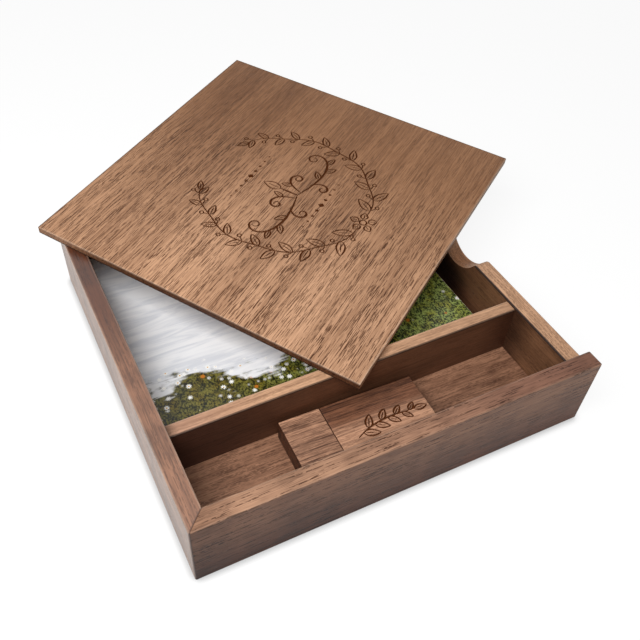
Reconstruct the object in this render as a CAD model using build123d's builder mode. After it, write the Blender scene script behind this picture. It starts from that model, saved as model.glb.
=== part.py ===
from build123d import *
from math import cos, sin
import os

os.makedirs("parts", exist_ok=True)

# Walnut box for photo prints and a flash drive, with its sliding lid laid askew on top.
# Millimetres and degrees. +X runs along the front wall towards the end where the lid
# slides in, +Y to the back, +Z up. The origin is the centre of the underside.

rest_gap = 0.1  # under the lid and the drive, where they lie loose on other pieces

# Photo prints, which the large bay is made for
print_length = 152.4
print_width = 101.6
print_thickness = 0.25
print_air = 0.02  # between one sheet and the next
print_count = 19
print_stray = 0.25  # how far the sheets under the top one lie out of line
print_side_gap = 0.6  # from the left wall
print_end_room = 4.0  # from the right wall
print_front_gap = 12.5  # from the divider
print_back_room = 1.9  # from the back wall

# Flash drive, which the small bay is made for
drive_width = 30.0
drive_height = 10.0
drive_arris = 0.4
drive_side_room = 2.5  # on each side of the drive in its bay
drive_offset = -4.6  # of the drive's middle from the box's middle, along X
drive_turn = -1.34
cap_seam = 0.2  # between the cap and the body
cap_end_wall = 5.0  # wood past the plug's cavity
body_end_wall = 8.3  # wood past the board's pocket

# Carcase
box_height = 35.0
wall_thickness = 7.5
end_drop = 5.8  # the right wall is this much lower, so that the lid passes over it
wood_arris = 0.5  # radius of the eased edges
corner_ease = 0.6  # flat taken off the upright corners of the mitres

# Floor, let into a rebate under the walls
floor_thickness = 4.6
floor_rebate = 3.5  # how far the floor reaches under each wall
floor_clearance = 0.1  # around the floor's edges

# Divider between the bays
divider_thickness = 6.0
divider_drop = 0.9  # below the right wall's top

# Finger notch in the right wall
notch_radius = 14.5
notch_depth = 8.7
notch_shoulder = 3.0  # radius that leads from the notch into the wall's top

# Lid and its grooves
lid_thickness = 3.5
lid_arris = 0.3
lid_side_clearance = 0.5
lid_top_clearance = 0.4
lid_setback = 0.5  # the closed lid stops this far inside the walls' right ends
groove_depth = 3.0

# Where the lid lies, with its front corner hanging over the small bay
lid_turn = 34.2  # from its closed heading
lid_corner_inset = 75.2  # of that corner, from the left wall's inner face
lid_corner_reach = 9.5  # of that corner, past the divider's front face

# Plug
plug_width = 12.0
plug_height = 4.5
plug_reach = 12.0  # outside the body
plug_seat = 6.7  # inside the body
plug_steel = 0.3
plug_bend = 0.6  # outer radius of the folded corners
plug_clearance = 0.2  # in the body's pocket
cap_clearance = 0.4  # around the plug in the cap
cap_end_clearance = 1.0  # past the plug's tip in the cap
window_length = 2.5
window_width = 2.0
window_spacing = 5.0
window_setback = 3.9  # from the plug's tip
tongue_thickness = 1.9
tongue_setback = 0.4  # from the plug's tip

# Contacts on the tongue, in an outer and an inner pair
contact_width = 1.0
contact_thickness = 0.15
outer_contact_spacing = 7.0
inner_contact_spacing = 2.0
outer_contact_setback = 1.2  # from the tongue's tip
inner_contact_setback = 2.2
contact_lap = 1.6  # on the circuit board

# Circuit board; a chip's place runs from the board's plug end to the chip's middle
board_length = 25.0
board_thickness = 0.8
board_side_room = 0.3  # narrower than the plug, on each side
pocket_end_room = 2.0  # past the board
memory_length = 11.0
memory_width = 9.0
memory_thickness = 1.0
memory_place = 13.0
controller_side = 5.0
controller_thickness = 0.8
controller_place = 6.5
crystal_length = 2.5
crystal_width = 3.2
crystal_thickness = 0.7
crystal_place = 13.0
capacitor_length = 1.0
capacitor_width = 0.6
capacitor_thickness = 0.5
capacitor_spacing = 2.2
capacitor_place = 18.0
capacitor_count = 4

# Magnets that hold the cap
magnet_diameter = 4.0
magnet_thickness = 1.5
magnet_clearance = 0.05

# Sizes and places that several pieces share
large_bay_depth = print_front_gap + print_width + print_back_room
small_bay_depth = drive_width + 2 * drive_side_room
box_length = print_side_gap + print_length + print_end_room + 2 * wall_thickness
box_depth = small_bay_depth + divider_thickness + large_bay_depth + 2 * wall_thickness
left_face, right_face = -box_length / 2, box_length / 2
front_face, back_face = -box_depth / 2, box_depth / 2
left_inner, right_inner = left_face + wall_thickness, right_face - wall_thickness
front_inner, back_inner = front_face + wall_thickness, back_face - wall_thickness
divider_front = front_inner + small_bay_depth
divider_back = divider_front + divider_thickness
end_height = box_height - end_drop
divider_height = end_height - divider_drop
recess_length = box_length - 2 * (wall_thickness - floor_rebate)
recess_depth = box_depth - 2 * (wall_thickness - floor_rebate)
lid_length = box_length - (wall_thickness - groove_depth) - lid_side_clearance - lid_setback
lid_width = box_depth - 2 * (wall_thickness - groove_depth) - 2 * lid_side_clearance


# Carcase

with BuildPart() as floor_recess:
    with BuildSketch():
        Rectangle(recess_length, recess_depth)
    extrude(amount=floor_thickness)


def grooved_section():
    """Section across a wall, from its outer face at x = 0 to its inner face."""
    with BuildSketch() as section:
        Rectangle(wall_thickness, box_height, align=Align.MIN)
        fillet(section.vertices().group_by(Axis.Y)[-1], wood_arris)
        fillet(section.vertices().group_by(Axis.Y)[0].sort_by(Axis.X)[0], wood_arris)
        with Locations((wall_thickness - groove_depth, end_height)):
            Rectangle(
                groove_depth,
                lid_thickness + lid_top_clearance,
                align=Align.MIN,
                mode=Mode.SUBTRACT,
            )
    return section.sketch


with BuildPart() as front_wall:
    with BuildSketch(Plane((left_face, front_face, 0), x_dir=(0, 1, 0), z_dir=(1, 0, 0))):
        add(grooved_section())
    extrude(amount=box_length)
    end_grain = front_wall.faces().sort_by(Axis.X)[-1]
    fillet(end_grain.edges().filter_by(Axis.Z).sort_by(Axis.Y)[0], wood_arris)
    split(bisect_by=Plane((left_face, front_face, 0), z_dir=(1, -1, 0)))
    split(bisect_by=Plane((left_face + corner_ease, front_face, 0), z_dir=(1, 1, 0)))
    add(floor_recess.part, mode=Mode.SUBTRACT)

with BuildPart() as back_wall:
    mirror(front_wall.part, about=Plane.XZ)

with BuildPart() as left_wall:
    with BuildSketch(Plane((left_face, back_face, 0), x_dir=(1, 0, 0), z_dir=(0, -1, 0))):
        add(grooved_section())
    extrude(amount=box_depth)
    for corner_y, side in ((front_face, 1), (back_face, -1)):
        split(bisect_by=Plane((left_face, corner_y, 0), z_dir=(-1, side, 0)))
        split(bisect_by=Plane((left_face + corner_ease, corner_y, 0), z_dir=(1, side, 0)))
    add(floor_recess.part, mode=Mode.SUBTRACT)

with BuildPart() as right_wall:
    with BuildSketch(Plane.YZ.offset(right_inner)) as end_outline:
        Rectangle(back_inner - front_inner, end_height, align=(Align.CENTER, Align.MIN))
        with Locations((0, end_height + notch_radius - notch_depth)):
            Circle(notch_radius, mode=Mode.SUBTRACT)
        top_corners = end_outline.vertices().group_by(Axis.Y)[-1].sort_by(Axis.X)
        fillet(top_corners[1:-1], notch_shoulder)
    extrude(amount=wall_thickness)
    rim = right_wall.faces().filter_by(Axis.X).edges().filter_by(Axis.Z, reverse=True)
    fillet(rim.filter_by(lambda edge: edge.center().Z > floor_thickness), wood_arris)
    under_edges = right_wall.faces().sort_by(Axis.Z)[0].edges()
    fillet(under_edges.sort_by(Axis.X)[-1], wood_arris)
    add(floor_recess.part, mode=Mode.SUBTRACT)

with BuildPart() as floor_panel:
    with BuildSketch():
        Rectangle(recess_length - 2 * floor_clearance, recess_depth - 2 * floor_clearance)
    extrude(amount=floor_thickness)

with BuildPart() as divider:
    with BuildSketch(Plane.XY.offset(floor_thickness)):
        with Locations((0, (divider_front + divider_back) / 2)):
            Rectangle(right_inner - left_inner, divider_thickness)
    extrude(amount=divider_height - floor_thickness)
    fillet(divider.edges().filter_by(Axis.X).group_by(Axis.Z)[-1], wood_arris)


# Lid, leaning on the divider and on the left and the back wall

heading = Vector(1, 0, 0).rotate(Axis.Z, lid_turn)
across = Vector(0, 1, 0).rotate(Axis.Z, lid_turn)
lid_corner = Vector(left_inner + lid_corner_inset, divider_front - lid_corner_reach, 0)
left_rest = lid_corner + across * ((left_inner - lid_corner.X) / across.X)
left_rest += Vector(0, 0, box_height)
front_rest = lid_corner + heading * ((divider_front - lid_corner.Y) / heading.Y)
front_rest += Vector(0, 0, divider_height)
back_rest = Vector(right_face, back_inner, box_height)
lid_up = (front_rest - left_rest).cross(back_rest - left_rest)
lid_rise = lid_up.dot(left_rest - lid_corner) / lid_up.Z + rest_gap
lid_plane = Plane(
    lid_corner + Vector(0, 0, lid_rise),
    x_dir=across.cross(lid_up),
    z_dir=lid_up,
)

with BuildPart() as lid:
    with BuildSketch(lid_plane):
        Rectangle(lid_length, lid_width, align=Align.MIN)
    extrude(amount=lid_thickness)
    fillet(lid.edges(), lid_arris)


# Photo prints

print_pitch = print_thickness + print_air
print_place = Vector(
    left_inner + print_side_gap + print_length / 2,
    divider_back + print_front_gap + print_width / 2,
)


def add_sheet(layer, stray):
    """One print at its height in the stack, moved out of line by stray."""
    with BuildPart() as sheet:
        with BuildSketch(Plane.XY.offset(floor_thickness + layer * print_pitch)):
            with Locations(print_place + stray):
                Rectangle(print_length, print_width)
        extrude(amount=print_thickness)
    return sheet.part


with BuildPart() as top_print:
    add(add_sheet(print_count - 1, Vector(0, 0)))

with BuildPart() as print_stack:
    for layer in range(print_count - 1):
        add(add_sheet(layer, Vector(cos(layer * layer), sin(layer * layer)) * print_stray))


# Flash drive: places along it are measured from the seam between cap and body

cap_length = plug_reach + cap_end_clearance + cap_end_wall
body_length = plug_seat + board_length + pocket_end_room + body_end_wall
cap_mouth = -cap_seam / 2
body_mouth = cap_seam / 2
plug_tip = body_mouth - plug_reach
plug_end = body_mouth + plug_seat
pocket_width = plug_width + 2 * plug_clearance
magnet_spacing = (pocket_width + drive_width) / 2
tongue_top = plug_steel + tongue_thickness - plug_height / 2

drive_heading = Vector(1, 0, 0).rotate(Axis.Z, drive_turn)
drive_middle = Vector(
    drive_offset,
    (front_inner + divider_front) / 2,
    floor_thickness + rest_gap,
)
drive_base = Plane(
    drive_middle - drive_heading * ((body_length - cap_length) / 2),
    x_dir=drive_heading,
    z_dir=(0, 0, 1),
)


def drive_level(height):
    """Plane level with the drive's top, at a height above the drive's middle."""
    return drive_base.offset(drive_height / 2 + height)


def drive_station(along):
    """Plane across the drive, centred on its middle, with x to the back and y up."""
    middle = drive_base.from_local_coords(Vector(along, 0, drive_height / 2))
    return Plane(middle, x_dir=drive_base.y_dir, z_dir=drive_base.x_dir)


with BuildPart() as drive_body:
    with BuildSketch(drive_station(body_mouth)):
        Rectangle(drive_width, drive_height)
    extrude(amount=body_length - cap_seam / 2)
    fillet(drive_body.edges(), drive_arris)
    with BuildSketch(drive_station(body_mouth)):
        Rectangle(pocket_width, plug_height + 2 * plug_clearance)
    extrude(amount=plug_seat + board_length + pocket_end_room, mode=Mode.SUBTRACT)
    with BuildSketch(drive_station(body_mouth)):
        with GridLocations(magnet_spacing, 0, 2, 1):
            Circle(magnet_diameter / 2 + magnet_clearance)
    extrude(amount=magnet_thickness, mode=Mode.SUBTRACT)

with BuildPart() as drive_cap:
    with BuildSketch(drive_station(cap_mouth)):
        Rectangle(drive_width, drive_height)
    extrude(amount=-(cap_length - cap_seam / 2))
    fillet(drive_cap.edges(), drive_arris)
    with BuildSketch(drive_station(cap_mouth)):
        Rectangle(plug_width + 2 * cap_clearance, plug_height + 2 * cap_clearance)
    extrude(amount=-(plug_reach + cap_end_clearance), mode=Mode.SUBTRACT)
    with BuildSketch(drive_station(cap_mouth)):
        with GridLocations(magnet_spacing, 0, 2, 1):
            Circle(magnet_diameter / 2 + magnet_clearance)
    extrude(amount=-magnet_thickness, mode=Mode.SUBTRACT)

with BuildPart() as body_magnets:
    with BuildSketch(drive_station(body_mouth)):
        with GridLocations(magnet_spacing, 0, 2, 1):
            Circle(magnet_diameter / 2)
    extrude(amount=magnet_thickness)

with BuildPart() as cap_magnets:
    with BuildSketch(drive_station(cap_mouth)):
        with GridLocations(magnet_spacing, 0, 2, 1):
            Circle(magnet_diameter / 2)
    extrude(amount=-magnet_thickness)

with BuildPart() as plug_shell:
    with BuildSketch(drive_station(plug_tip)):
        RectangleRounded(plug_width, plug_height, plug_bend)
        RectangleRounded(
            plug_width - 2 * plug_steel,
            plug_height - 2 * plug_steel,
            plug_bend - plug_steel,
            mode=Mode.SUBTRACT,
        )
    extrude(amount=plug_reach + plug_seat)
    with BuildSketch(drive_level(0)):
        with Locations((plug_tip + window_setback + window_length / 2, 0)):
            with GridLocations(0, window_spacing, 1, 2):
                Rectangle(window_length, window_width)
    extrude(amount=plug_height, both=True, mode=Mode.SUBTRACT)

with BuildPart() as plug_tongue:
    with BuildSketch(drive_level(tongue_top)):
        with Locations((plug_tip + tongue_setback, 0)):
            Rectangle(
                plug_reach + plug_seat - tongue_setback,
                plug_width - 2 * plug_bend,
                align=(Align.MIN, Align.CENTER),
            )
    extrude(amount=-tongue_thickness)

with BuildPart() as plug_contacts:
    for spacing, setback in (
        (outer_contact_spacing, outer_contact_setback),
        (inner_contact_spacing, inner_contact_setback),
    ):
        contact_tip = plug_tip + tongue_setback + setback
        with BuildSketch(drive_level(tongue_top)):
            with Locations(((contact_tip + plug_end + contact_lap) / 2, 0)):
                with GridLocations(0, spacing, 1, 2):
                    Rectangle(plug_end + contact_lap - contact_tip, contact_width)
        extrude(amount=contact_thickness)

with BuildPart() as drive_board:
    with BuildSketch(drive_level(tongue_top)):
        with Locations((plug_end + board_length / 2, 0)):
            Rectangle(board_length, plug_width - 2 * board_side_room)
    extrude(amount=-board_thickness)

with BuildPart() as memory_chip:
    with BuildSketch(drive_level(tongue_top - board_thickness)):
        with Locations((plug_end + memory_place, 0)):
            Rectangle(memory_length, memory_width)
    extrude(amount=-memory_thickness)

with BuildPart() as controller_chip:
    with BuildSketch(drive_level(tongue_top)):
        with Locations((plug_end + controller_place, 0)):
            Rectangle(controller_side, controller_side)
    extrude(amount=controller_thickness)

with BuildPart() as clock_crystal:
    with BuildSketch(drive_level(tongue_top)):
        with Locations((plug_end + crystal_place, 0)):
            Rectangle(crystal_length, crystal_width)
    extrude(amount=crystal_thickness)

with BuildPart() as board_capacitors:
    with BuildSketch(drive_level(tongue_top)):
        with Locations((plug_end + capacitor_place, 0)):
            with GridLocations(0, capacitor_spacing, 1, capacitor_count):
                Rectangle(capacitor_length, capacitor_width)
    extrude(amount=capacitor_thickness)


pieces = {
    "front_wall": front_wall,
    "back_wall": back_wall,
    "left_wall": left_wall,
    "right_wall": right_wall,
    "floor_panel": floor_panel,
    "divider": divider,
    "lid": lid,
    "top_print": top_print,
    "print_stack": print_stack,
    "drive_body": drive_body,
    "drive_cap": drive_cap,
    "body_magnets": body_magnets,
    "cap_magnets": cap_magnets,
    "plug_shell": plug_shell,
    "plug_tongue": plug_tongue,
    "plug_contacts": plug_contacts,
    "drive_board": drive_board,
    "memory_chip": memory_chip,
    "controller_chip": controller_chip,
    "clock_crystal": clock_crystal,
    "board_capacitors": board_capacitors,
}
for name, piece in pieces.items():
    piece.part.label = name
    export_step(piece.part, f"parts/{name}.step")
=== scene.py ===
from math import atan2, cos, pi, radians, sin

import bmesh
import bpy
from bpy.props import FloatProperty, FloatVectorProperty, IntProperty, PointerProperty
from mathutils import Euler, Matrix, Vector
from mathutils.geometry import delaunay_2d_cdt


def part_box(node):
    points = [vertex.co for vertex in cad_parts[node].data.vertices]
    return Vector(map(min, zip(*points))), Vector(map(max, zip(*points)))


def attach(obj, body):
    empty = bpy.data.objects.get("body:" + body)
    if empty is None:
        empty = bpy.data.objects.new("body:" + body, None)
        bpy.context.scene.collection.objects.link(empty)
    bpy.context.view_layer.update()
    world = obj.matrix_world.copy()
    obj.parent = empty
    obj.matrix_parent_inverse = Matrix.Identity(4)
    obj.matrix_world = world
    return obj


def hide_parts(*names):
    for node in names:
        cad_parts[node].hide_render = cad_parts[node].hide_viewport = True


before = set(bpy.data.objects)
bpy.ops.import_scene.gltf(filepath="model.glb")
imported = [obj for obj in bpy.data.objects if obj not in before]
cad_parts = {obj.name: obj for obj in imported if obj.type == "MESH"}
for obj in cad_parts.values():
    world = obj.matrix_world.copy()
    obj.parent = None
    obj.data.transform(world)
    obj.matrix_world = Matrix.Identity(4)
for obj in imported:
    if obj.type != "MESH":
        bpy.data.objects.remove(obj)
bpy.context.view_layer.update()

bl_info = {
    "name": "Walnut photo box",
    "version": (1, 0, 0),
    "blender": (4, 5, 0),
    "location": "View3D > Sidebar > Photo Box",
    "description": "Finishes a walnut photo box with its engraved lid, prints and flash drive",
    "category": "Object",
}

MM = 0.001
LID_TURN = radians(34.2)  # heading of the lid's grain
DRIVE_TURN = radians(-1.34)  # heading of the flash drive's grain
LID_END, LID_SIDE, LID_THICK = 83.25, 81, 3.5  # half length, half width, whole thickness, in mm
SKIN = 0.4  # depth of wood, in mm, to which the tint of a single face goes, most of it painted shade
EDGE_ANGLE = radians(30)  # an edge that bends more than this stays sharp

# The camera that fits the box's straight edges, in metres, degrees and millimetres of lens
CAMERA_SPOT = (-0.111616, -0.200768, 0.259285)
CAMERA_TURN = (41.8179, -0.3370, -24.9810)
CAMERA_LENS = 42.314
CAMERA_SHIFT = (0.07757, 0.02732)


# Settings


def colour(name, description, default):
    """A colour property, written as it looks on a screen."""
    return FloatVectorProperty(
        name=name,
        description=description,
        subtype="COLOR_GAMMA",
        size=3,
        min=0,
        max=1,
        default=[channel / 255 for channel in default],
    )


def length(name, description, default):
    """A length property in metres, from a default in millimetres."""
    return FloatProperty(
        name=name, description=description, subtype="DISTANCE", unit="LENGTH", min=0,
        precision=5, default=default * MM,
    )


class WoodSettings(bpy.types.PropertyGroup):
    """Colours of the walnut, piece by piece"""

    wall_light: colour("Walls, light", "Light wood of the three high walls", (182, 140, 112))
    wall_dark: colour("Walls, dark", "Dark streaks of the three high walls", (104, 74, 58))
    gold_light: colour(
        "Pale walnut, light", "Light wood of the low wall and the divider", (218, 171, 135)
    )
    gold_dark: colour(
        "Pale walnut, dark", "Dark streaks of the low wall and the divider", (156, 117, 88)
    )
    floor_light: colour("Floor, light", "Light wood of the floor panel", (166, 122, 95))
    floor_dark: colour("Floor, dark", "Dark streaks of the floor panel", (104, 70, 52))
    lid_light: colour("Lid, light", "Light wood of the lid", (214, 167, 132))
    lid_dark: colour("Lid, dark", "Dark streaks of the lid", (145, 105, 78))
    drive_light: colour("Flash drive, light", "Light wood of the flash drive", (202, 153, 122))
    drive_dark: colour("Flash drive, dark", "Dark streaks of the flash drive", (84, 54, 40))
    joint: colour("Joints", "Lines where two pieces of wood are glued", (72, 46, 34))


class EngravingSettings(bpy.types.PropertyGroup):
    """Sizes and colour of the engraved lines"""

    burnt: colour("Burnt wood", "Floor of the engraved lines", (88, 45, 15))
    depth: length("Depth", "Depth of the engraved lines", 0.5)
    line: length("Line width", "Width of the lid's engraved lines", 0.85)
    radius: length("Wreath radius", "From the lid's middle to the wreath's stem", 41)
    leaves: IntProperty(
        name="Leaves", description="Leaves along each half of the wreath", min=3, default=13
    )


class PrintSettings(bpy.types.PropertyGroup):
    """Curl of the top print and colours of its picture"""

    curl: length("Curl", "How far the top print's back corner curls up", 7)
    mist: colour("Mist", "Bright parts of the mist in the picture", (242, 243, 245))
    mist_shade: colour("Mist, shaded", "Dim parts of the mist in the picture", (216, 219, 225))
    grass_light: colour("Grass, light", "Light blades in the picture", (166, 182, 98))
    grass_dark: colour("Grass, dark", "Shade between the blades", (18, 28, 4))
    leaf: colour("Fallen leaves", "Fallen leaves in the picture", (186, 112, 34))
    daisy: colour("Daisies", "Petals of the daisies in the picture", (246, 246, 244))


class StageSettings(bpy.types.PropertyGroup):
    """Strength of the lamps and the room's light"""

    key: FloatProperty(
        name="Key lamp", description="Power of the lamp overhead", unit="POWER", min=0,
        default=3.3,
    )
    front: FloatProperty(
        name="Front lamp", description="Power of the weak lamp in front", unit="POWER", min=0,
        default=0.14,
    )
    room: FloatProperty(
        name="Room", description="Strength of the light from all round", min=0, default=0.2
    )


class PhotoBoxSettings(bpy.types.PropertyGroup):
    """All settings of the photo box"""

    wood: PointerProperty(type=WoodSettings)
    engraving: PointerProperty(type=EngravingSettings)
    picture: PointerProperty(type=PrintSettings)
    stage: PointerProperty(type=StageSettings)


# Nodes


def linear(shade):
    """Screen colour to the linear colour that a shader takes."""
    return [
        channel / 12.92 if channel <= 0.04045 else ((channel + 0.055) / 1.055) ** 2.4
        for channel in shade
    ] + [1]


def screen(*channels):
    """Linear colour of a screen colour in 0 to 255."""
    return linear([channel / 255 for channel in channels])


class Finish:
    """A material whose nodes are added one after the other."""

    spacing = 180  # between nodes in the editor

    def __init__(self, name):
        self.material = bpy.data.materials.new(name)
        self.material.use_nodes = True
        self.tree = self.material.node_tree
        self.shader = self.tree.nodes["Principled BSDF"]
        self.output = self.tree.nodes["Material Output"]
        self.place = 0

    def add(self, kind, inputs=(), **settings):
        """A new node with its inputs and its own settings."""
        node = self.tree.nodes.new("ShaderNode" + kind)
        self.place -= self.spacing
        node.location = (self.place, 0)
        for name, value in settings.items():
            setattr(node, name, value)
        for name, value in dict(inputs).items():
            self.put(node.inputs[name], value)
        return node

    def put(self, socket, value):
        """Links a socket, or sets it to a plain value."""
        if isinstance(value, bpy.types.NodeSocket):
            self.tree.links.new(value, socket)
        else:
            socket.default_value = value

    def math(self, operation, *values):
        """Result of a sum or another operation on values."""
        node = self.add("Math", operation=operation)
        for socket, value in zip(node.inputs, values):
            self.put(socket, value)
        return node.outputs[0]

    def mapped(self, vector, scale, shift=(0, 0, 0)):
        """A vector scaled and then shifted."""
        node = self.add("Mapping", {"Vector": vector, "Scale": scale, "Location": shift})
        return node.outputs[0]

    def noise(self, vector, detail=2, roughness=0.5, distortion=0):
        """Soft random spots about one unit of the vector across."""
        node = self.add(
            "TexNoise",
            {
                "Vector": vector, "Scale": 1, "Detail": detail, "Roughness": roughness,
                "Distortion": distortion,
            },
        )
        return node.outputs["Fac"]

    def span(self, value, low, high, to_low=0, to_high=1, smooth=True):
        """Value from low to high, carried over to another span and held at its ends."""
        node = self.add(
            "MapRange",
            {
                "Value": value, "From Min": low, "From Max": high, "To Min": to_low,
                "To Max": to_high,
            },
            interpolation_type="SMOOTHSTEP" if smooth else "LINEAR",
        )
        return node.outputs["Result"]

    def varied(self, noise, low, high, smooth=True):
        """Value that varies between low and high as a noise does."""
        return self.span(noise, 0.3, 0.7, low, high, smooth)

    def mix(self, factor, first, second, blend="MIX"):
        """The first colour with a share of the second."""
        node = self.add("Mix", data_type="RGBA", blend_type=blend)
        self.put(node.inputs[0], factor)
        self.put(node.inputs[6], first)
        self.put(node.inputs[7], second)
        return node.outputs[2]

    def tinted(self, factor, shade, tint):
        """A colour with a share of it multiplied by a screen colour."""
        return self.mix(factor, shade, self.mix(1.0, shade, screen(*tint), "MULTIPLY"))

    def bump(self, height, distance, strength=1.0):
        """Gives the surface a relief, whose depth is in metres."""
        node = self.add("Bump", {"Height": height, "Distance": distance, "Strength": strength})
        self.put(self.shader.inputs["Normal"], node.outputs[0])

    def set(self, **values):
        """Sets inputs of the shader, named with _ for a space."""
        for name, value in values.items():
            self.put(self.shader.inputs[name.replace("_", " ")], value)


def wood(
    name, light, dark, place, seed, band=16, streak=2.2, stripes=0.45, thread=0.15, dash=0.6,
    size=2.8, pore=0.5, sparse=0.0, soft=0.05, mottle=0.1, figure=0.0, gloss=0.3, rough=0.48,
    ends=(176, 164, 158), fade=(), tints_and_painted_shade=(), joints=(), arrises=(),
):
    """Oiled walnut whose grain runs along x of place.

    Band and streak are the widths of its broad and narrow stripes, and size and pore the length
    and the width of its dashes, all in millimetres. Stripes, thread, dash, mottle and figure
    are the strengths of the narrow stripes, the thin lines, the dashes, the cloudy spots and
    the soft bands across the grain. Sparse thins the dashes out and soft blurs them. Fade gives
    (from, to, rest) of dashes that thin out along the grain to a rest of their strength. Gloss
    and rough are the strength and the spread of its shine, and ends is the tint of its end
    grain. The tints_and_painted_shade give a tint and the spans (axis, from, to) over which it
    sets in: some tints are the wood's own tone, and most are painted shade that darkens a
    face, a corner or an end where less light falls. Joints give (normal, offset) of a dark
    line's plane, and arrises give (axis, first, second, tone): an edge along that axis,
    through first and second on the other two, with a painted highlight where tone is above
    zero and a dark line below. Joints are in the box's own axes, and tints_and_painted_shade
    and arrises in those of place, all in millimetres.
    """
    finish = Finish(name)
    settings = bpy.context.scene.photo_box.wood
    coordinates = finish.add("TexCoord").outputs
    inverse = place.inverted()
    grain = finish.add(
        "Mapping",
        {
            "Vector": coordinates["Object"],
            "Scale": [1 / MM] * 3,
            "Rotation": inverse.to_euler(),
            "Location": inverse.translation / MM,
        },
    ).outputs[0]
    shift = (seed * 37.7, seed * 91.3, seed * 53.1)  # a part of the tree for each piece

    def layer(long, wide, deep, detail=2, roughness=0.5, source=grain):
        """Spots of the given size in millimetres, along the grain, across it and into it."""
        return finish.noise(
            finish.mapped(source, (1 / long, 1 / wide, 1 / deep), shift), detail, roughness
        )

    # Stripes that sway to the sides, and dashes where rows along the grain are cut up
    sway = finish.math("MULTIPLY", layer(110, 30, 30, 1), 7.0)
    push = finish.add("CombineXYZ", {"Y": sway}).outputs[0]
    pushed = finish.add("VectorMath", {0: grain, 1: push}, operation="ADD").outputs[0]
    broad = layer(260, band, band, 2, source=pushed)
    lines = layer(150, streak, 2 * streak, 3, 0.6, source=pushed)
    threads = layer(60, 0.7, 0.7, 2, 0.6, source=pushed)
    fibre = layer(7, 0.35, 0.35, 2, 0.6)
    cover = layer(34, 7, 7, 1)
    rows = layer(16, 1.1 * pore, 1.1 * pore, 1)
    cuts = layer(size, pore, pore, 1)
    row_level, cut_level = 0.49 + sparse, 0.46
    dashes = finish.math(
        "MULTIPLY",
        finish.span(rows, row_level - soft, row_level + soft),
        finish.span(cuts, cut_level - soft, cut_level + soft),
    )
    dashes = finish.math("MULTIPLY", dashes, finish.span(cover, 0.3, 0.65, 0.7 * dash, dash))
    spots = finish.add("SeparateXYZ", {0: grain}).outputs
    if fade:
        start, end, rest = fade
        dashes = finish.math("MULTIPLY", dashes, finish.span(spots["X"], start, end, 1, rest))

    # How dark the wood is, from its stripes, spots, lines, fibres and bands
    tone = finish.math("ADD", finish.varied(broad, 0, 0.45), finish.varied(lines, 0, stripes))
    clouds = layer(9, 3.2, 3.2, 2, 0.6, source=pushed)
    changes = [(clouds, mottle), (threads, thread), (fibre, 0.18)]
    if figure:
        changes.append((layer(11, 40, 40, 1), figure))
    for change, most in changes:
        tone = finish.math("ADD", tone, finish.varied(change, -most, most))
    shade = finish.mix(tone, linear(light), linear(dark))

    # Tints that set in over spans, most of them painted shade
    for tint, *spans in tints_and_painted_shade:
        share = 1.0
        for axis, start, end in spans:
            share = finish.math("MULTIPLY", share, finish.span(spots[axis], start, end))
        shade = finish.tinted(share, shade, tint)
    shade = finish.tinted(dashes, shade, (120, 102, 90))
    facing = finish.add(
        "VectorMath",
        {0: coordinates["Normal"], 1: place.to_3x3() @ Vector((1, 0, 0))},
        operation="DOT_PRODUCT",
    ).outputs["Value"]
    end_grain = finish.span(finish.math("ABSOLUTE", facing), 0.6, 0.95)
    shade = finish.tinted(end_grain, shade, ends)

    # Joint lines, and arrises that get a painted highlight or a dark line, whose reach is in
    # millimetres
    solid = finish.mapped(coordinates["Object"], [1 / MM] * 3)
    for normal, offset in joints:
        beside = finish.add(
            "VectorMath", {0: solid, 1: Vector(normal).normalized()}, operation="DOT_PRODUCT"
        ).outputs["Value"]
        beside = finish.math("ABSOLUTE", finish.math("SUBTRACT", beside, offset))
        shade = finish.mix(finish.span(beside, 0.16, 0.42, 0.8, 0), shade, linear(settings.joint))
    for axis, first, second, tone in arrises:
        flat = [1, 1, 1]
        flat[axis] = 0
        middle = [first, second]
        middle.insert(axis, 0)
        off = finish.add(
            "VectorMath", {0: finish.mapped(grain, flat), 1: middle}, operation="DISTANCE"
        ).outputs["Value"]
        if tone > 0:
            off = finish.math("SUBTRACT", off, finish.math("MULTIPLY", cuts, 0.5))
            # Painted highlight along the edge, standing in for light caught by its rounding
            edge_highlight = finish.mix(1.0, shade, screen(226, 200, 178), "SCREEN")
            shade = finish.mix(finish.span(off, 0.1, 0.6, tone, 0), shade, edge_highlight)
        else:
            edge = finish.span(off, 0.45, 0.95, -tone, 0)
            shade = finish.mix(edge, shade, screen(40, 24, 17))

    spread = 0.07  # of the roughness from fibre to fibre
    finish.set(
        Base_Color=shade,
        Roughness=finish.span(fibre, 0.2, 0.8, rough - spread, rough + spread),
    )
    finish.shader.inputs["Specular IOR Level"].default_value = gloss
    height = finish.math("SUBTRACT", finish.math("MULTIPLY", fibre, 0.25), dashes)
    finish.bump(height, 0.12 * MM, 0.6)
    return finish.material


def burnt_wood(name):
    """Scorched floor of the engraved lines."""
    finish = Finish(name)
    settings = bpy.context.scene.photo_box.engraving
    place = finish.add("TexCoord").outputs["Object"]
    spots_per_metre = (300, 1600, 1600)
    char = finish.noise(finish.mapped(place, spots_per_metre), 3, 0.6)
    burnt = linear(settings.burnt)
    darker = [channel * 0.6 for channel in burnt[:3]] + [1]
    finish.set(Base_Color=finish.mix(char, darker, burnt), Roughness=0.75)
    finish.shader.inputs["Specular IOR Level"].default_value = 0.1
    finish.bump(char, 0.08 * MM)
    return finish.material


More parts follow.
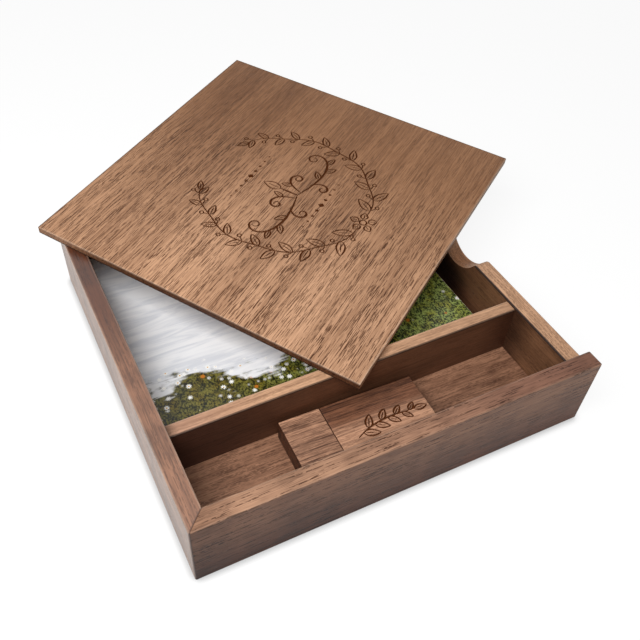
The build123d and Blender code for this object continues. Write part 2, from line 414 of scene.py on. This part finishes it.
def meadow(name):
    """The picture on the top print, morning mist over a meadow with daisies, and white paper.

    Every size in it is in millimetres on the print.
    """
    finish = Finish(name)
    picture = bpy.context.scene.photo_box.picture
    coordinates = finish.add("TexCoord").outputs
    spot = finish.mapped(coordinates["Object"], [1 / MM] * 3)
    spot = finish.add("VectorMath", {0: spot, 1: (1, 1, 0)}, operation="MULTIPLY").outputs[0]
    sides = finish.add("SeparateXYZ", {0: spot}).outputs

    def spots(wide, deep, detail, roughness, shift=(0, 0, 0)):
        scale = (1 / wide, 1 / deep, 1)
        return finish.noise(finish.mapped(spot, scale, shift), detail, roughness)

    def cells(size, randomness):
        return finish.add(
            "TexVoronoi", {"Vector": spot, "Scale": 1 / size, "Randomness": randomness}
        )

    # Grass with dry clumps, dull towards the left, and fallen leaves
    blades = spots(0.8, 1.2, 3, 0.8)
    tufts = spots(2.6, 3.4, 2, 0.5)
    blades = finish.math("ADD", blades, finish.varied(tufts, -0.07, 0.07, smooth=False))
    grass = finish.mix(
        finish.span(blades, 0.43, 0.6), linear(picture.grass_dark), linear(picture.grass_light)
    )
    clumps = spots(6, 6, 3, 0.6)
    grass = finish.tinted(finish.span(clumps, 0.42, 0.66), grass, (252, 232, 176))
    grass = finish.tinted(finish.span(sides["X"], 30, -50), grass, (186, 162, 142))
    scatter = cells(4.6, 1).outputs
    near = finish.span(scatter["Distance"], 0.18, 0.26, 1, 0)
    chosen = finish.add("SeparateColor", {0: scatter["Color"]}).outputs[0]
    fallen = finish.math("MULTIPLY", near, finish.span(chosen, 0.78, 0.8))
    grass = finish.mix(fallen, grass, linear(picture.leaf))

    # Mist, which ends where reach is about 50 and has a ragged rim
    middle, flatten = (-38, 36, 0), (1 / 1.2, 1, 1)
    reach = finish.add(
        "VectorMath", {0: finish.mapped(spot, flatten), 1: middle}, operation="DISTANCE"
    ).outputs["Value"]
    ragged = spots(13, 13, 4, 0.6)
    reach = finish.math("ADD", reach, finish.span(ragged, 0.2, 0.8, -9, 9, smooth=False))
    reach = finish.math("SUBTRACT", reach, finish.span(sides["Y"], 26, 70, 0, 26))
    drift = spots(42, 30, 2, 0.5, (0.4, 0.9, 0))
    reach = finish.math("ADD", reach, finish.varied(drift, -13, 13, smooth=False))
    turned = finish.add(
        "Mapping", {"Vector": spot, "Rotation": (0, 0, radians(28)), "Scale": (1 / 34, 1 / 5, 1)}
    ).outputs[0]
    wisps = finish.noise(turned, 5, 0.62, 0.9)
    reach = finish.math("ADD", reach, finish.varied(wisps, 6, -6, smooth=False))
    mist = finish.mix(
        finish.span(wisps, 0.34, 0.62), linear(picture.mist_shade), linear(picture.mist)
    )
    shade = finish.mix(finish.span(reach, 47, 53), mist, grass)

    # Daisies, which grow in a belt along the rim of the mist and thin out past it
    beds = cells(3.3, 0.75).outputs
    away = finish.add(
        "VectorMath", {0: spot, 1: beds["Position"]}, operation="SUBTRACT"
    ).outputs[0]
    parts = finish.add("SeparateXYZ", {0: away}).outputs
    petals, notch = 8, 0.28
    turn = finish.math("MULTIPLY", finish.math("ARCTAN2", parts["Y"], parts["X"]), petals)
    notches = finish.math("MULTIPLY", finish.math("COSINE", turn), notch)
    far = finish.add("VectorMath", {0: away}, operation="LENGTH").outputs["Value"]
    flower = finish.span(finish.math("SUBTRACT", far, notches), 0.9, 1.15, 1, 0)
    belt = finish.math(
        "MULTIPLY", finish.span(reach, 42, 45), finish.span(reach, 56, 66, 1, 0.12)
    )
    draw = finish.add("SeparateColor", {0: beds["Color"]}).outputs[1]
    kept = finish.math("LESS_THAN", draw, belt)
    shade = finish.mix(finish.math("MULTIPLY", flower, kept), shade, linear(picture.daisy))
    heart = finish.math("MULTIPLY", finish.span(far, 0.3, 0.42, 1, 0), kept)
    shade = finish.mix(heart, shade, screen(222, 170, 52))

    # The picture is on top only, and the edges and the back are bare paper
    up = finish.add("SeparateXYZ", {0: coordinates["Normal"]}).outputs["Z"]
    shade = finish.mix(finish.span(up, 0.5, 0.9), screen(238, 238, 235), shade)
    grit = finish.noise(finish.mapped(spot, (2.2, 2.2, 2.2)), 2)
    finish.set(Base_Color=shade, Roughness=finish.span(grit, 0.2, 0.8, 0.3, 0.38))
    finish.bump(grit, 0.01 * MM)
    return finish.material


def plain(name, light, dark, size, roughness, metallic=0.0, stretch=(1, 1, 1)):
    """A finish that varies between two shades, in spots of a size in millimetres."""
    finish = Finish(name)
    place = finish.add("TexCoord").outputs["Object"]
    scale = [1 / MM / (size * factor) for factor in stretch]
    grain = finish.noise(finish.mapped(place, scale), 4, 0.6)
    finish.set(
        Base_Color=finish.mix(finish.varied(grain, 0, 1), screen(*light), screen(*dark)),
        Roughness=finish.varied(grain, roughness - 0.05, roughness + 0.08),
    )
    finish.shader.inputs["Metallic"].default_value = metallic
    finish.bump(grain, 0.02 * MM)
    return finish.material


# Engraving, drawn in millimetres about the middle of a face


def ray(turn):
    """Unit vector at an angle from x."""
    return Vector((cos(turn), sin(turn)))


def curve(start, heading, size, bends, step=0.8):
    """Points of a line of a given size, whose curvature runs evenly through bends."""
    count = round(size / step)
    points = [Vector(start)]
    angle = radians(heading)
    for index in range(count):
        place = (index + 0.5) / count * (len(bends) - 1)
        low = int(place)
        bend = bends[low] + (bends[low + 1] - bends[low]) * (place - low)
        angle += bend * size / count
        points.append(points[-1] + ray(angle) * size / count)
    return points


def stroke(points, width, ends=0.25):
    """Quads along a line that is widest in its middle, and ends at a share of its width."""
    last = len(points) - 1
    swell = 0.6  # the lower, the sooner the line is at its full width
    sides = []
    for index, point in enumerate(points):
        ahead = points[min(index + 1, last)] - points[max(index - 1, 0)]
        normal = Vector((-ahead.y, ahead.x)).normalized()
        half = width / 2 * (ends + (1 - ends) * abs(sin(pi * index / last)) ** swell)
        sides.append((point + normal * half, point - normal * half))
    return [
        (right, next_right, next_left, left)
        for (left, right), (next_left, next_right) in zip(sides, sides[1:])
    ]


def leaf(foot, heading, size, breadth, width):
    """An outlined leaf with its middle vein."""
    axis = ray(heading)
    side = Vector((-axis.y, axis.x))
    steps = 9  # along each side, which is fullest just before its middle
    quads = []
    for turn in (1, -1):
        edge = [
            foot + axis * size * t + side * turn * breadth / 2 * sin(pi * t ** 0.8) ** 0.9
            for t in [index / steps for index in range(steps + 1)]
        ]
        quads += stroke(edge, width, 0.5)
    vein = [foot + axis * size * t for t in (0.1, 0.3, 0.5, 0.72)]
    return quads + stroke(vein, width * 0.7, 0.4)


def berry(middle, radius, width):
    """An outlined berry."""
    steps = 10
    ring = [
        middle + ray(turn) * radius
        for turn in [2 * pi * index / steps for index in range(steps + 1)]
    ]
    return stroke(ring, width, 1)


def lozenge(middle, reach):
    """A small solid lozenge."""
    return [tuple(middle + ray(turn) * reach for turn in (0, pi / 2, pi, 3 * pi / 2))]


def mirrored(quads):
    """The same quads on the other side of the y axis, with their order kept right."""
    return [tuple(Vector((-p.x, p.y)) for p in reversed(quad)) for quad in quads]


def wreath(radius, count, width):
    """Half of a leaf wreath that is open at the top, and its mirror image."""
    first, last = radians(-84), radians(58)
    steps, wave, waves = 60, 0.7, 9

    def on_stem(turn):
        return ray(turn) * (radius + wave * sin(turn * waves))

    turns = [first + (last - first) * index / steps for index in range(steps + 1)]
    quads = stroke([on_stem(turn) for turn in turns], width, 0.5)
    fine = width * 0.8
    for index in range(count):
        turn = first + (last - first) * (index + 0.6) / count
        foot = on_stem(turn)
        outward = 1 if index % 2 else -1
        size = 9.8 - 3.4 * index / count
        quads += leaf(foot, turn + pi / 2 - outward * radians(48), size, size * 0.42, width)
        twig = ray(turn + pi / 2 + outward * radians(40))
        quads += stroke([foot + twig * t for t in (0.6, 1.8, 3.0)], fine, 0.6)
        quads += berry(foot + twig * 4.0, 0.95, fine)
    quads += leaf(ray(last) * radius, last + pi / 2, 6.4, 2.6, width)
    return quads + mirrored(quads)


def blossom(middle, radius, width):
    """Five outlined petals round a small ring."""
    quads = berry(middle, radius * 0.28, width)
    for index in range(5):
        turn = pi / 2 + 2 * pi * index / 5
        foot = middle + ray(turn) * radius * 0.38
        quads += leaf(foot, turn, radius * 0.72, radius * 0.55, width)
    return quads


def shoot(stem, place, side, size, width):
    """A leaf that grows from one point of a stem, to its left with side 1, else to its right."""
    ahead = stem[place + 1] - stem[place - 1]
    heading = atan2(ahead.y, ahead.x) + side * radians(44)
    return leaf(stem[place], heading, size, size * 0.43, width)


def flourish(width):
    """Scrolls to both sides of a bud, with a row of lozenges above and below."""
    bold = width * 1.4
    long_scroll = curve((0, -6), -16, 53, (0.0, 0.02, 0.05, 0.24, 0.7))
    high_scroll = curve((2.4, -6.7), 74, 27, (0.0, -0.08, -0.26, -0.5, -0.8))
    low_scroll = curve((9.5, -7.6), -36, 19, (-0.03, -0.2, -0.45, -0.8))
    quads = []
    for scroll in (long_scroll, high_scroll, low_scroll):
        quads += stroke(scroll, bold, 0.3)
    for place, side, size in ((20, 1, 6.4), (28, -1, 6.4), (36, -1, 5.8)):
        quads += shoot(long_scroll, place, side, size, width)
    quads += shoot(high_scroll, 8, 1, 5.6, width)
    rows, pitch = (20, -19), 4.4
    for row in rows:
        for index in range(1, 5):
            quads += lozenge(Vector((index * pitch, row)), 1.25 - 0.15 * index)
    quads += mirrored(quads)
    quads += stroke([Vector((0, y)) for y in (-6, -3, 0, 3)], bold, 0.6)
    quads += leaf(Vector((0, 3)), radians(90), 9.5, 4.6, width)
    for row in rows:
        quads += lozenge(Vector((0, row)), 1.7)
    return quads


def sprig(width):
    """A small leafy sprig for the flash drive."""
    stem = curve((-13, -4.2), 30, 28, (-0.03, -0.03, 0.01))
    quads = stroke(stem, width, 0.4)
    for index, place in enumerate(range(4, len(stem) - 2, 4)):
        quads += shoot(stem, place, 1 if index % 2 else -1, 7.0 - 0.35 * index, width)
    ahead = stem[-1] - stem[-2]
    return quads + leaf(stem[-1], atan2(ahead.y, ahead.x), 5.6, 2.5, width)


# Pieces that stand for CAD nodes


def top_frame(node_name, turn):
    """Place of a board's top face: its middle, x along the grain, z out of the wood."""
    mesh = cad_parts[node_name].data
    up = max(mesh.polygons, key=lambda face: face.area * face.normal.z).normal.copy()
    along = Vector((-sin(turn), cos(turn), 0)).cross(up).normalized()
    axes = Matrix((along, up.cross(along), up))
    corners = [axes @ vertex.co for vertex in mesh.vertices]
    low = [min(corner[axis] for corner in corners) for axis in range(3)]
    high = [max(corner[axis] for corner in corners) for axis in range(3)]
    middle = Vector(((low[0] + high[0]) / 2, (low[1] + high[1]) / 2, high[2]))
    back = axes.transposed()
    return Matrix.Translation(back @ middle) @ back.to_4x4()


def stand_in(node_name, name, mesh, body):
    """Puts a mesh in the place of a CAD node, on the body that carries it."""
    mesh.shade_smooth()
    mesh.set_sharp_from_angle(angle=EDGE_ANGLE)
    piece = bpy.data.objects.new(name, mesh)
    bpy.context.scene.collection.objects.link(piece)
    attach(piece, body)
    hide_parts(node_name)


def top_outline(flat):
    """Corners of a flat convex top, in order round its middle."""
    rim = {
        vertex
        for face in flat
        for edge in face.edges
        if sum(other in flat for other in edge.link_faces) == 1
        for vertex in edge.verts
    }
    return [
        vertex.co.xy / MM
        for vertex in sorted(rim, key=lambda vertex: atan2(vertex.co.y, vertex.co.x))
    ]


def sink(cut, outline, quads, depth):
    """Fills the outline with a top that is sunk by depth inside the quads.

    Sunk floors get material 1, and the top and the walls round them material 0.
    """
    points = list(outline)
    faces = [list(range(len(points)))]
    for quad in quads:
        faces.append(list(range(len(points), len(points) + 4)))
        points += quad
    full, apart = 1, 1e-4  # what the triangles cover, and millimetres within which points join
    spots, _, tiles, _, _, sources = delaunay_2d_cdt(points, [], faces, full, apart)
    top = [cut.verts.new((spot.x * MM, spot.y * MM, 0)) for spot in spots]
    low = {}
    owners = {}
    for tile, source in zip(tiles, sources):
        sunk = any(index > 0 for index in source)
        for a, b in zip(tile, tile[1:] + tile[:1]):
            owners.setdefault(frozenset((a, b)), []).append((sunk, a, b))
        if sunk:
            for index in tile:
                if index not in low:
                    low[index] = cut.verts.new((top[index].co.x, top[index].co.y, -depth))
        face = cut.faces.new([low[i] if sunk else top[i] for i in tile])
        face.material_index = int(sunk)
    for pair in owners.values():
        if len(pair) == 2 and pair[0][0] != pair[1][0]:
            a, b = pair[0][1:]
            wall = cut.faces.new((top[a], top[b], low[b], low[a]))
            wall.material_index = 0


def engraved(node_name, name, body, place, quads, depth, materials):
    """A copy of a CAD node, in its place, whose top face is cut down inside the quads."""
    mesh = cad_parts[node_name].data.copy()
    mesh.name = name
    mesh.materials.clear()
    for material in materials:
        mesh.materials.append(material)
    mesh.transform(place.inverted())
    for layer in list(mesh.attributes):
        if layer.name == "custom_normal":
            mesh.attributes.remove(layer)
    cut = bmesh.new()
    cut.from_mesh(mesh)
    same, level = 0.0001 * MM, 0.001 * MM  # within these, corners are one, and lie on top
    bmesh.ops.remove_doubles(cut, verts=cut.verts, dist=same)
    flat = [face for face in cut.faces if all(abs(v.co.z) < level for v in face.verts)]
    outline = top_outline(flat)
    bmesh.ops.delete(cut, geom=flat, context="FACES_ONLY")
    sink(cut, outline, quads, depth)
    loose = [vertex for vertex in cut.verts if not vertex.link_faces]
    bmesh.ops.delete(cut, geom=loose, context="VERTS")
    bmesh.ops.remove_doubles(cut, verts=cut.verts, dist=2 * same)
    bmesh.ops.recalc_face_normals(cut, faces=cut.faces)
    cut.to_mesh(mesh)
    cut.free()
    mesh.transform(place)
    stand_in(node_name, name, mesh, body)


def curled(node_name, name, body, rise, share, material):
    """A copy of a sheet of paper whose back edge curls up by rise over a share of its depth.

    The curl is highest at the left corner and half as high at the right.
    """
    low, high = (Vector(corner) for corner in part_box(node_name))
    columns, rows = 12, 36
    sheet = bmesh.new()
    grid = []
    for level in (high.z, low.z):
        layer = []
        for row in range(rows + 1):
            t = row / rows
            lift = rise * max(0.0, (t - 1 + share) / share) ** 2
            layer.append([
                sheet.verts.new((
                    low.x + (high.x - low.x) * column / columns,
                    low.y + (high.y - low.y) * t,
                    level + lift * (1 - 0.5 * column / columns),
                ))
                for column in range(columns + 1)
            ])
        grid.append(layer)
    top, under = grid
    for row in range(rows):
        for column in range(columns):
            corners = [(row, column), (row, column + 1), (row + 1, column + 1), (row + 1, column)]
            sheet.faces.new([top[r][c] for r, c in corners])
            sheet.faces.new([under[r][c] for r, c in reversed(corners)])
    rim = [(0, column) for column in range(columns)]
    rim += [(row, columns) for row in range(rows)]
    rim += [(rows, column) for column in range(columns, 0, -1)]
    rim += [(row, 0) for row in range(rows, 0, -1)]
    for (r, c), (next_r, next_c) in zip(rim, rim[1:] + rim[:1]):
        sheet.faces.new((under[r][c], under[next_r][next_c], top[next_r][next_c], top[r][c]))
    mesh = bpy.data.meshes.new(name)
    sheet.to_mesh(mesh)
    sheet.free()
    mesh.materials.append(material)
    stand_in(node_name, name, mesh, body)


def finish_node(name, material):
    """Gives a CAD node its material."""
    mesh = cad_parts[name].data
    mesh.materials.clear()
    mesh.materials.append(material)


def node_box(node_name):
    """Lowest and highest corner of a CAD node, in millimetres."""
    return [Vector(corner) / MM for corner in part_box(node_name)]


# Stage


def seen_rays(tree):
    """Socket that is 1 for rays from the camera, straight or by gloss or glass, and else 0."""
    rays = tree.nodes.new("ShaderNodeLightPath").outputs
    seen = rays["Is Camera Ray"]
    for name in ("Is Glossy Ray", "Is Transmission Ray"):
        either = tree.nodes.new("ShaderNodeMath")
        either.operation = "MAXIMUM"
        tree.links.new(seen, either.inputs[0])
        tree.links.new(rays[name], either.inputs[1])
        seen = either.outputs[0]
    return seen


def ground_white(name):
    """Grey ground that is seen nearly white, with the box's shadow and a thin shade round it."""
    finish = Finish(name)
    finish.set(Base_Color=screen(112, 112, 112), Roughness=0.9)
    finish.shader.inputs["Specular IOR Level"].default_value = 0.0
    place = finish.add("TexCoord").outputs["Object"]
    away = finish.add("VectorMath", {0: place}, operation="LENGTH").outputs["Value"]
    strength = finish.span(away, 0.3, 1.2, 0.88, 0.97)
    nook = finish.add("AmbientOcclusion", {"Distance": 4 * MM}, samples=16).outputs["AO"]
    strength = finish.math("MULTIPLY", strength, finish.span(nook, 0.4, 1, 0.5, 1))
    strength = finish.math("MULTIPLY", seen_rays(finish.tree), strength)
    glow = finish.add("Emission", {"Color": (1, 1, 1, 1), "Strength": strength})
    both = finish.add("AddShader")
    finish.put(both.inputs[0], finish.shader.outputs[0])
    finish.put(both.inputs[1], glow.outputs[0])
    finish.put(finish.output.inputs["Surface"], both.outputs[0])
    return finish.material


def lay_ground(scene, reach=12.0):
    """A flat ground, reach metres to each side of the box."""
    mesh = bpy.data.meshes.new("ground")
    spots = [(-reach, -reach, 0), (reach, -reach, 0), (reach, reach, 0), (-reach, reach, 0)]
    mesh.from_pydata(spots, [], [(0, 1, 2, 3)])
    mesh.materials.append(ground_white("ground_white"))
    ground = bpy.data.objects.new("ground", mesh)
    scene.collection.objects.link(ground)


def light_room(scene, strength):
    """Even light from all round, in a room that is seen white."""
    world = bpy.data.worlds.new("room")
    world.use_nodes = True
    scene.world = world
    tree = world.node_tree
    room = tree.nodes["Background"]
    room.inputs["Color"].default_value = (1, 1, 1, 1)
    level = tree.nodes.new("ShaderNodeMapRange")
    level.inputs["To Min"].default_value = strength
    tree.links.new(seen_rays(tree), level.inputs["Value"])
    tree.links.new(level.outputs[0], room.inputs["Strength"])


def hang_lamp(scene, name, power, across, deep, spot, aim):
    """A soft rectangular lamp at a spot, turned to its aim."""
    lamp = bpy.data.lights.new(name, "AREA")
    lamp.shape = "RECTANGLE"
    lamp.size = across
    lamp.size_y = deep
    lamp.energy = power
    holder = bpy.data.objects.new(name, lamp)
    scene.collection.objects.link(holder)
    holder.location = spot
    holder.rotation_euler = (Vector(spot) - Vector(aim)).to_track_quat("Z", "Y").to_euler()


def set_camera(scene):
    """The camera at the photograph's viewing angle."""
    view = bpy.data.cameras.new("camera")
    view.sensor_width = 36
    view.lens = CAMERA_LENS
    view.shift_x, view.shift_y = CAMERA_SHIFT
    camera = bpy.data.objects.new("camera", view)
    scene.collection.objects.link(camera)
    camera.location = CAMERA_SPOT
    camera.rotation_euler = Euler([radians(angle) for angle in CAMERA_TURN])
    scene.camera = camera


# Pieces


class PHOTOBOX_OT_carcase(bpy.types.Operator):
    """Finishes the walls, the floor panel and the divider"""

    bl_idname = "photobox.carcase"
    bl_label = "Carcase"

    def execute(self, context):
        shades = context.scene.photo_box.wood
        light, dark = shades.wall_light, shades.wall_dark
        across = Matrix.Rotation(pi / 2, 4, "Z")
        along = Matrix.Identity(4)
        low, high = node_box("front_wall")
        outside, inside, rim = -low.y, -high.y, high.z
        front_left, back_left = ((1, -1, 0), 0), ((1, 1, 0), 0)

        # Spans named for a face keep a tint to that face, and those with but keep it off
        front_face = ("Y", SKIN - outside, -outside)
        but_front_face = ("Y", -outside, SKIN - outside)
        finish_node("front_wall", wood(
            "front_wall_walnut", light, dark, along, 1.3, band=12, stripes=0.22, thread=0.18,
            dash=0.95, size=1.9, pore=0.55, sparse=0.1, soft=0.03, mottle=0.06, figure=0.15,
            gloss=0.2,
            # Painted shade: the front face darker, more so towards the left, and the wall darker
            # lower down, where less light falls. The first three tints darken the rest towards the
            # right and the ends.
            tints_and_painted_shade=(
                ((204, 191, 197), ("X", -50, 80), but_front_face),
                ((222, 220, 218), ("X", 50, 84), but_front_face),
                ((228, 224, 222), ("X", -62, -84)),
                ((236, 230, 230), front_face),
                ((220, 217, 218), ("X", 30, -40), front_face),
                ((160, 130, 114), ("Z", 30, 0)),
            ),
            joints=(front_left,),
            # Painted highlights along both top edges, and a dark line down the front left corner
            arrises=(
                (0, -outside, rim, 0.05), (0, -inside, rim, 0.08), (2, -outside, -outside, -0.6),
            ),
        ))

        # Painted highlights along both top edges of the back and left walls
        edge_highlight = ((0, outside, rim, 0.14), (0, inside, rim, 0.14))
        finish_node("back_wall", wood(
            "back_wall_walnut", light, dark, along, 2.1, band=12, stripes=0.22, thread=0.1,
            dash=0.75, size=2.4, pore=0.42, sparse=0.07, soft=0.03, mottle=0.06, figure=0.15,
            gloss=0.2, tints_and_painted_shade=(((220, 204, 200), ("X", 0, -80)),),
            joints=(back_left,), arrises=edge_highlight,
        ))

        outer_face = ("Y", outside - SKIN, outside)
        but_outer_face = ("Y", outside, outside - SKIN)
        finish_node("left_wall", wood(
            "left_wall_walnut", light, dark, across, 3.7, band=12, stripes=0.2, thread=0.12,
            dash=0.6, size=2.4, pore=0.42, sparse=0.05, soft=0.03, mottle=0.08, figure=0.22,
            gloss=0.8, rough=0.34,
            # Painted shade: the top and the inner face darker, more so towards the back, and most
            # near the lid, where its shadow falls. The outer face is darker towards the front.
            tints_and_painted_shade=(
                ((214, 200, 194), but_outer_face),
                ((196, 178, 166), ("X", -35, 20), but_outer_face),
                ((214, 196, 184), ("X", 4, 30), but_outer_face),
                ((226, 224, 220), ("X", -40, -84), outer_face),
            ),
            joints=(front_left, back_left), arrises=edge_highlight,
        ))

        low_rim = node_box("right_wall")[1].z
        inner_face = ("Y", -inside - SKIN, -inside - 0.1)
        but_both_faces = (("Y", -inside - 0.1, -inside - 0.7), ("Y", 0.2 - outside, 0.8 - outside))
        finish_node("right_wall", wood(
            "right_wall_walnut", shades.gold_light, shades.gold_dark, across, 4.9, band=9,
            stripes=0.25, dash=0.5, size=1.3, pore=0.42, figure=0.08, ends=(206, 196, 194),
            # Painted shade on the inner face: darker all over, in the corner by the divider, and
            # most towards the back and low down, where the lid's shadow falls. The notch is darker
            # and browner lower down.
            tints_and_painted_shade=(
                ((152, 138, 126), inner_face),
                ((150, 142, 142), ("X", -60, -45), ("X", -37, -38), inner_face),
                ((176, 166, 162), ("X", -40, 0), inner_face),
                ((110, 100, 108), ("X", -22, 0), ("Z", 26, 14), inner_face),
                ((176, 158, 140), ("Z", 25, 21), *but_both_faces),
            ),
            joints=(((0, 1, 0), -inside), ((0, 1, 0), inside)),
            arrises=((0, -inside, low_rim, -1),),
        ))

        low, high = node_box("divider")
        bay_face = ("Y", low.y + 0.3, low.y)
        finish_node("divider", wood(
            "divider_walnut", shades.gold_light, shades.gold_dark, along, 5.2, band=9, streak=1.6,
            stripes=0.25, dash=0.3, size=2, figure=0.06,
            # Painted shade: the face towards the front bay darker, more so towards both ends,
            # where less light reaches it. The wood is darker towards the left.
            tints_and_painted_shade=(
                ((134, 114, 104), bay_face),
                ((194, 188, 194), ("X", 0, -60), bay_face),
                ((196, 188, 188), ("X", 60, 78), bay_face),
                ((230, 228, 238), ("X", -30, -76)),
            ),
            # A dark line along the front top edge, and a painted highlight along the back top edge
            arrises=((0, low.y, high.z, -0.8), (0, high.y, high.z, 0.14)),
        ))

        finish_node("floor_panel", wood(
            "floor_walnut", shades.floor_light, shades.floor_dark, along, 6.4, stripes=0.3,
            dash=0.6, size=1.7, soft=0.09, mottle=0.2,
        ))
        return {"FINISHED"}


class PHOTOBOX_OT_lid(bpy.types.Operator):
    """Makes the lid with its engraved wreath"""

    bl_idname = "photobox.lid"
    bl_label = "Lid"

    def execute(self, context):
        settings = context.scene.photo_box
        engraving = settings.engraving
        width, radius = engraving.line / MM, engraving.radius / MM
        quads = wreath(radius, engraving.leaves, width)
        quads += blossom(Vector((0, -radius)), 6.0, width)
        quads += flourish(width)
        place = top_frame("lid", LID_TURN)
        left_end = ("X", 0.35 - LID_END, 0.05 - LID_END)
        walnut = wood(
            "lid_walnut", settings.wood.lid_light, settings.wood.lid_dark, place, 7.5, band=18,
            stripes=0.35, dash=0.95, size=4.2, pore=0.4, sparse=0.035, soft=0.045, mottle=0.06,
            gloss=0.15, ends=(222, 214, 208), fade=(-10, 60, 0.4),
            # Painted shade: the lid darker towards its far end and its far side, where less light
            # falls. The left end face is darker towards one corner.
            tints_and_painted_shade=(
                ((202, 190, 176), ("X", -70, 60)),
                ((244, 242, 240), ("Y", -60, 70)),
                ((244, 242, 240), ("Y", 20, 80)),
                ((152, 134, 122), left_end, ("Y", 78, 20)),
            ),
            # A dark line of painted shadow under the left end, painted highlights along the near
            # top edges, and dark lines of painted shade along the far top edges
            arrises=(
                (1, -LID_END, -LID_THICK, -0.9), (1, -LID_END, 0, 0.16), (0, -LID_SIDE, 0, 0.2),
                (0, LID_SIDE, 0, -0.5), (1, LID_END, 0, -0.4),
            ),
        )
        engraved(
            "lid", "lid_engraved", "lid", place, quads, engraving.depth,
            [walnut, burnt_wood("lid_burnt")],
        )
        return {"FINISHED"}


class PHOTOBOX_OT_prints(bpy.types.Operator):
    """Finishes the stack of prints and the picture on the top one"""

    bl_idname = "photobox.prints"
    bl_label = "Prints"

    def execute(self, context):
        paper = plain("photo_paper", (236, 236, 234), (228, 228, 226), 0.4, 0.4)
        finish_node("print_stack", paper)
        curl, share = context.scene.photo_box.picture.curl, 0.45
        curled(
            "top_print", "top_print_curled", "prints", curl, share, meadow("meadow_print"),
        )
        return {"FINISHED"}


class PHOTOBOX_OT_drive(bpy.types.Operator):
    """Finishes the flash drive, with a sprig engraved on its body"""

    bl_idname = "photobox.drive"
    bl_label = "Flash drive"

    def execute(self, context):
        settings = context.scene.photo_box
        light, dark = settings.wood.drive_light, settings.wood.drive_dark
        place = top_frame("drive_body", DRIVE_TURN)
        walnut = wood(
            "drive_walnut", light, dark, place, 8.2, band=4.2, streak=1.7, thread=0.3, dash=0.5,
            pore=0.4, soft=0.04, tints_and_painted_shade=(((166, 148, 138), ("Y", 0, 6)),),
        )
        engraved(
            "drive_body", "drive_body_engraved", "drive", place, sprig(width=0.85),
            settings.engraving.depth, [walnut, burnt_wood("drive_burnt")],
        )
        # The cap's end face is end grain, darkened further with painted shade
        finish_node("drive_cap", wood(
            "drive_cap_walnut", light, dark, place, 9.4, band=5, streak=1.8, thread=0.3, dash=0.5,
            pore=0.4, soft=0.04, ends=(118, 96, 82),
        ))

        # Each finish has its two shades, the size of its spots and its roughness
        nickel = plain("magnet_nickel", (206, 206, 210), (186, 186, 192), 0.5, 0.22, metallic=1)
        steel = plain(
            "plug_steel", (200, 200, 204), (176, 176, 180), 0.3, 0.3, metallic=1,
            stretch=(8, 1, 1),
        )
        gilt = plain("contact_gilt", (226, 190, 104), (206, 166, 84), 0.3, 0.25, metallic=1)
        can = plain("crystal_can", (196, 196, 198), (176, 176, 180), 0.3, 0.3, metallic=1)
        plastic = plain("tongue_plastic", (226, 226, 222), (214, 214, 210), 0.3, 0.45)
        lacquer = plain("board_lacquer", (22, 84, 46), (16, 66, 36), 0.8, 0.3)
        resin = plain("chip_resin", (34, 34, 36), (24, 24, 26), 0.15, 0.6)
        ceramic = plain("capacitor_ceramic", (166, 132, 96), (148, 114, 80), 0.2, 0.5)
        for name, material in {
            "body_magnets": nickel,
            "cap_magnets": nickel,
            "plug_shell": steel,
            "plug_tongue": plastic,
            "plug_contacts": gilt,
            "drive_board": lacquer,
            "memory_chip": resin,
            "controller_chip": resin,
            "clock_crystal": can,
            "board_capacitors": ceramic,
        }.items():
            finish_node(name, material)
        return {"FINISHED"}


class PHOTOBOX_OT_stage(bpy.types.Operator):
    """Sets the ground, the room, the lamps and the camera"""

    bl_idname = "photobox.stage"
    bl_label = "Stage"

    def execute(self, context):
        scene = context.scene
        settings = scene.photo_box.stage
        scene.view_settings.view_transform = "Standard"
        lay_ground(scene)
        light_room(scene, settings.room)
        hang_lamp(
            scene, "key_lamp", settings.key, across=0.46, deep=0.32, spot=(-0.26, -0.17, 0.45),
            aim=(0, 0, 0),
        )
        hang_lamp(
            scene, "front_lamp", settings.front, across=0.5, deep=0.2, spot=(0.45, -0.6, 0.18),
            aim=(0.03, -0.06, 0.02),
        )
        set_camera(scene)
        return {"FINISHED"}


class PHOTOBOX_PT_panel(bpy.types.Panel):
    """Lists the settings and the operators"""

    bl_idname = "PHOTOBOX_PT_panel"
    bl_label = "Photo Box"
    bl_space_type = "VIEW_3D"
    bl_region_type = "UI"
    bl_category = "Photo Box"

    def draw(self, context):
        settings = context.scene.photo_box
        for group in ("wood", "engraving", "picture", "stage"):
            box = self.layout.box()
            chosen = getattr(settings, group)
            for name in chosen.__annotations__:
                box.prop(chosen, name)
        for operator in OPERATORS:
            self.layout.operator(operator.bl_idname)


OPERATORS = (
    PHOTOBOX_OT_carcase,
    PHOTOBOX_OT_lid,
    PHOTOBOX_OT_prints,
    PHOTOBOX_OT_drive,
    PHOTOBOX_OT_stage,
)
CLASSES = (
    WoodSettings,
    EngravingSettings,
    PrintSettings,
    StageSettings,
    PhotoBoxSettings,
    *OPERATORS,
    PHOTOBOX_PT_panel,
)


def register():
    for cls in CLASSES:
        bpy.utils.register_class(cls)
    bpy.types.Scene.photo_box = PointerProperty(type=PhotoBoxSettings)


def unregister():
    del bpy.types.Scene.photo_box
    for cls in reversed(CLASSES):
        bpy.utils.unregister_class(cls)


def main():
    register()
    bpy.ops.photobox.carcase()
    bpy.ops.photobox.lid()
    bpy.ops.photobox.prints()
    bpy.ops.photobox.drive()
    bpy.ops.photobox.stage()


if __name__ == "__main__":
    main()
